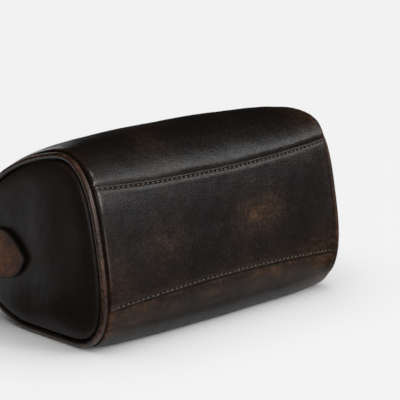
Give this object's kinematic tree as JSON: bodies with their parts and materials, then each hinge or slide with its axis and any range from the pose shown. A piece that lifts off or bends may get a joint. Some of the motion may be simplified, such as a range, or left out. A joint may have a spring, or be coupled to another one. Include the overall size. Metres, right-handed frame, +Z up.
{
  "type": "crossbody bag",
  "caption": "Small barrel-shaped leather crossbody bag with piped end panels, a lapped base panel, a top zip and ring tabs for a shoulder strap, lying on its back panel.",
  "frame": {"origin": "on the floor, under the middle of the bag's box as it lies on its back panel", "axes": "+X along the bag's length, +Y from the base towards the zip, +Z up from the floor"},
  "size_m": [0.2314, 0.1322, 0.1186],
  "materials": {
    "leather_panels": "burnished near-black brown leather, satin, rubbed to brown along the edges",
    "leather_ends": "burnished near-black brown leather, satin",
    "leather_piping": "rubbed brown leather over a cord, satin",
    "leather_tabs": "burnished brown leather with a glossy black painted edge",
    "hardware": "aged dark brass",
    "zip_tape": "black woven tape"
  },
  "bodies": {
    "root": {"bottom_panel": "leather_panels", "front_panel": "leather_panels", "back_panel": "leather_panels", "end_panel_left": "leather_ends", "end_panel_right": "leather_ends", "piping_left": "leather_piping", "piping_right": "leather_piping", "strap_tab_left": "leather_tabs", "strap_tab_right": "leather_tabs", "d_ring_left": "hardware", "d_ring_right": "hardware", "zip_tape": "zip_tape", "zip_teeth": "hardware", "zip_slider": "hardware"}
  },
  "joints": []
}
